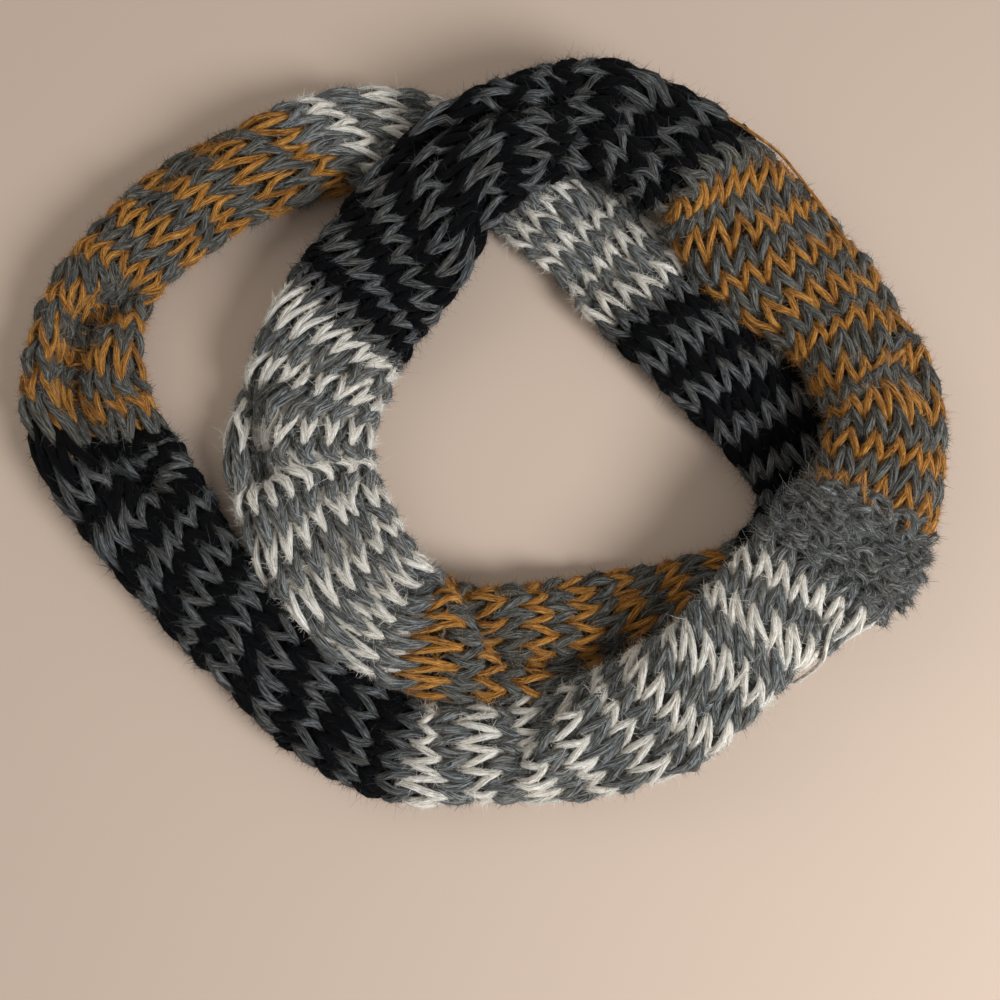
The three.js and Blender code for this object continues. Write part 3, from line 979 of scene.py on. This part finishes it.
def freeYarn(name, nodeName, key, line, radius):
    line = np.array(line, float)
    # A smooth line through the points, evenly spaced.
    places = np.linspace(0, len(line) - 1, 49)
    i = np.clip(np.floor(places).astype(int), 0, len(line) - 2)
    t = (places - i)[:, None]
    padded = np.concatenate([[2 * line[0] - line[1]], line, [2 * line[-1] - line[-2]]])
    a, b, c, d = (padded[i + k] for k in range(4))
    smooth = b + 0.5 * ((c - a) * t + (2 * a - 5 * b + 4 * c - d) * t ** 2
                        + (3 * (b - c) + d - a) * t ** 3)
    gaps = np.linalg.norm(np.diff(smooth, axis=0), axis=1)
    run = np.concatenate([[0], np.cumsum(gaps)])
    even = np.linspace(0, run[-1], 41)
    smooth = np.stack([np.interp(even, run, smooth[:, k]) for k in range(3)], axis=1)
    normal = np.tile([0.1, 0.2, 1.0], (len(smooth), 1))
    plump = np.full((1, len(smooth)), radius)
    side, up = yarnFrames(smooth[None], normal[None], closedLine=False)
    rings = sweptYarn(smooth[None], side, up, plump)
    sides = stitch["sides"]
    verts = rings.reshape(-1, 3)
    count = len(smooth)
    r, s = np.meshgrid(np.arange(count - 1), np.arange(sides), indexing="ij")
    a, b = r * sides + s, (r + 1) * sides + s
    c, d = (r + 1) * sides + (s + 1) % sides, r * sides + (s + 1) % sides
    faces = np.stack([a, b, c, d], axis=-1).reshape(-1, 4)
    corners = [(r, s), (r + 1, s), (r + 1, s + 1), (r, s + 1)]
    uvs = np.stack([np.stack([i / count, j / sides], -1) for i, j in corners], axis=-2)
    piece = makeMesh(name, verts, faces, uvs.reshape(-1, 2))
    angle = np.arange(sides) / sides * 2 * np.pi
    addAttribute(piece, "yarnAlong", np.repeat(even * twist["along"], sides))
    addAttribute(piece, "yarnAcross", np.tile(np.cos(angle) * twist["freeRound"], count))
    addAttribute(piece, "yarnOver", np.tile(np.sin(angle) * twist["freeRound"], count))
    piece.data.materials.append(yarnMaterials[key])
    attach(piece, "root")
    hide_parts(nodeName)
    nap = looseFibres(f"{name}_nap", smooth[None], normal[None], plump, key, **freeNap)
    return piece


# A point of the outline, at a station and an angle round from the inner edge.
def besideKnit(place, degrees):
    value = routeAt(np.array(float(place)))
    middle = value[:3] - [0, 0, settle]
    ahead = unit(routeAt(np.array(place + 0.02))[:3] - routeAt(np.array(place - 0.02))[:3])
    inner = unit(np.cross([0, 0, 1.0], ahead))
    tilt = math.radians(value[5])
    inner = inner * math.cos(tilt) + np.cross(ahead, inner) * math.sin(tilt)
    up = np.cross(ahead, inner)
    c, s = math.cos(math.radians(degrees)), math.sin(math.radians(degrees))
    across = math.copysign(abs(c) ** (2 / roundness), c) * value[3] / 2
    above = math.copysign(abs(s) ** (2 / roundness), s) * value[4] / 2
    return middle + inner * across + up * above


# The nearest point over the knitting, this far above its middle surface.
def ontoKnit(point, clear):
    gap = np.linalg.norm(skin - np.array(point), axis=2)
    r, p = np.unravel_index(np.argmin(gap), gap.shape)
    return skin[r, p] + skinNormal[r, p] * clear


# On top of the knitting at this spot, or on the floor beside it.
def overKnit(x, y, clear):
    near = np.hypot(skin[..., 0] - x, skin[..., 1] - y) < 3.0
    return np.array([x, y, skin[..., 2][near].max() + clear if near.any() else 1.2])


# The white end lies over the edge of the knitting (x, y, height over it), then hangs to the floor.
tail = {
    "radius": 0.8,
    "over": [(136.0, -73.5, 2.8), (131.8, -79.4, 4.4), (130.2, -85.0, 4.2)],
    "hanging": [(131.0, -91.2, 31.5), (131.3, -94.8, 18.0), (130.0, -97.8, 8.0),
                (127.5, -100.4, 2.6)],
}
line = [overKnit(*spot) for spot in tail["over"]] + [np.array(spot) for spot in tail["hanging"]]
freeYarn("white_tail", "white_yarn_tail", "white", line, tail["radius"])

# The mustard one lies along the outer edge: station, height over the knitting.
strand = {
    "radius": 0.6,
    "angle": 152,
    "line": [(5.05, 2.8), (4.8, 3.8), (4.5, 4.2), (4.1, 3.9), (3.6, 3.6), (3.1, 2.8)],
}
line = [ontoKnit(besideKnit(place, strand["angle"]), clear) for place, clear in strand["line"]]
freeYarn("mustard_strand", "mustard_loose_strand", "mustard", line, strand["radius"])
say("free yarns")


# Room: pale floor, soft light, camera. In metres.
room = {"floor": (214, 192, 174), "size": 6, "below": 0.0002,
        "air": (1.0, 0.98, 0.95), "strength": 0.3}
floorMaterial, _, floorShader = newMaterial("floor_cloth")
floorShader.inputs["Base Color"].default_value = (*linear(*room["floor"]), 1)
floorShader.inputs["Roughness"].default_value = 0.9
bpy.ops.mesh.primitive_plane_add(size=room["size"], location=(0, 0, -room["below"]))
floor = bpy.context.object
floor.name = "floor"
floor.data.materials.append(floorMaterial)

world = bpy.data.worlds.new("room")
bpy.context.scene.world = world
world.use_nodes = True
air = world.node_tree.nodes["Background"]
air.inputs["Color"].default_value = (*room["air"], 1)
air.inputs["Strength"].default_value = room["strength"]

# Both lights shine at the middle of the part.
lights = {
    "window_light": {"spot": (0.75, -0.55, 0.75), "size": 0.5, "power": 12.0,
                     "colour": (0.96, 0.98, 1.0)},
    "fill_light": {"spot": (-0.9, 0.5, 0.9), "size": 0.9, "power": 2.2,
                   "colour": (1.0, 0.93, 0.84)},
}
for name, light in lights.items():
    data = bpy.data.lights.new(name, "AREA")
    data.shape = "DISK"
    data.size = light["size"]
    data.energy = light["power"]
    data.color = light["colour"]
    lamp = bpy.data.objects.new(name, data)
    lamp.location = light["spot"]
    lamp.rotation_euler = (-Vector(light["spot"])).to_track_quat("-Z", "Y").to_euler()
    bpy.context.scene.collection.objects.link(lamp)

camera = {"aim": (0.011, -0.028, 0.008), "tilt": 9.0, "distance": 0.44, "angle": 49.0}
cameraData = bpy.data.cameras.new("camera")
cameraData.angle = math.radians(camera["angle"])
cameraData.clip_start = 0.01
cameraObject = bpy.data.objects.new("camera", cameraData)
bpy.context.scene.collection.objects.link(cameraObject)
tilt = math.radians(camera["tilt"])
toCamera = np.array([0, -math.sin(tilt), math.cos(tilt)])
cameraObject.location = np.array(camera["aim"]) + toCamera * camera["distance"]
cameraObject.rotation_euler = (tilt, 0, 0)
bpy.context.scene.camera = cameraObject
bpy.context.scene.view_settings.view_transform = "Standard"

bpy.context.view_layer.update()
say("done")
